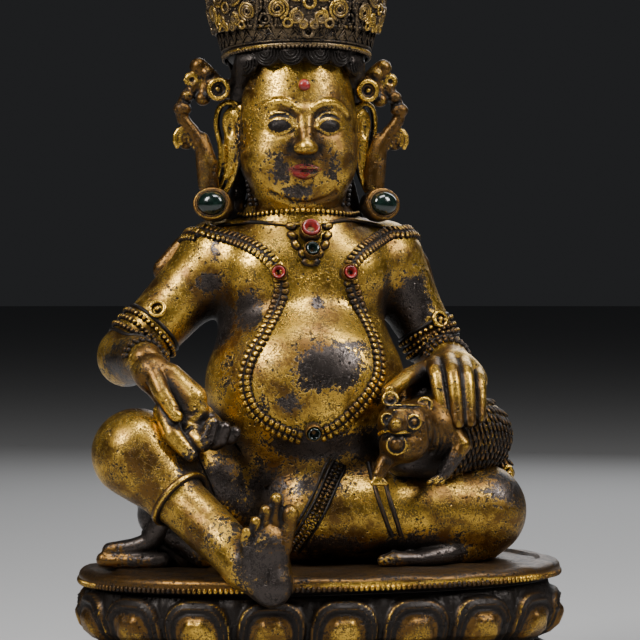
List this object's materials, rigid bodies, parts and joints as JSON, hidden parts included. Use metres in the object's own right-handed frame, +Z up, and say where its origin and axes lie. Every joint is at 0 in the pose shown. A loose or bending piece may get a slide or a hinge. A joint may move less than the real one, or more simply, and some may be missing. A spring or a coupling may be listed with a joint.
{
  "type": "seated deity statue",
  "caption": "Seated big-bellied Himalayan wealth deity in worn gilt bronze on an oval lotus base, one foot over the rim, a mongoose in the left hand.",
  "frame": {"origin": "centre of the lotus base's underside", "axes": "+Z up, -Y the way the figure faces, +X towards the figure's own left hand"},
  "size_m": [0.098, 0.0704, 0.1623],
  "materials": {
    "gilt_bronze": "worn fire gilding over brown copper alloy, satin with polished high spots",
    "dark_bronze": "dark brown patina with traces of gilding",
    "red_stone": "opaque red coral, satin",
    "green_stone": "very dark green glassy stone, polished"
  },
  "bodies": {
    "root": {"figure": "gilt_bronze", "lotus_base": "dark_bronze", "brow_stone": "red_stone", "ear_stone_right": "green_stone", "ear_stone_left": "green_stone", "pendant_stone_upper": "red_stone", "pendant_stone_lower": "green_stone", "chain_stone_right": "red_stone", "chain_stone_left": "red_stone", "chain_stone_low": "green_stone"}
  },
  "joints": []
}
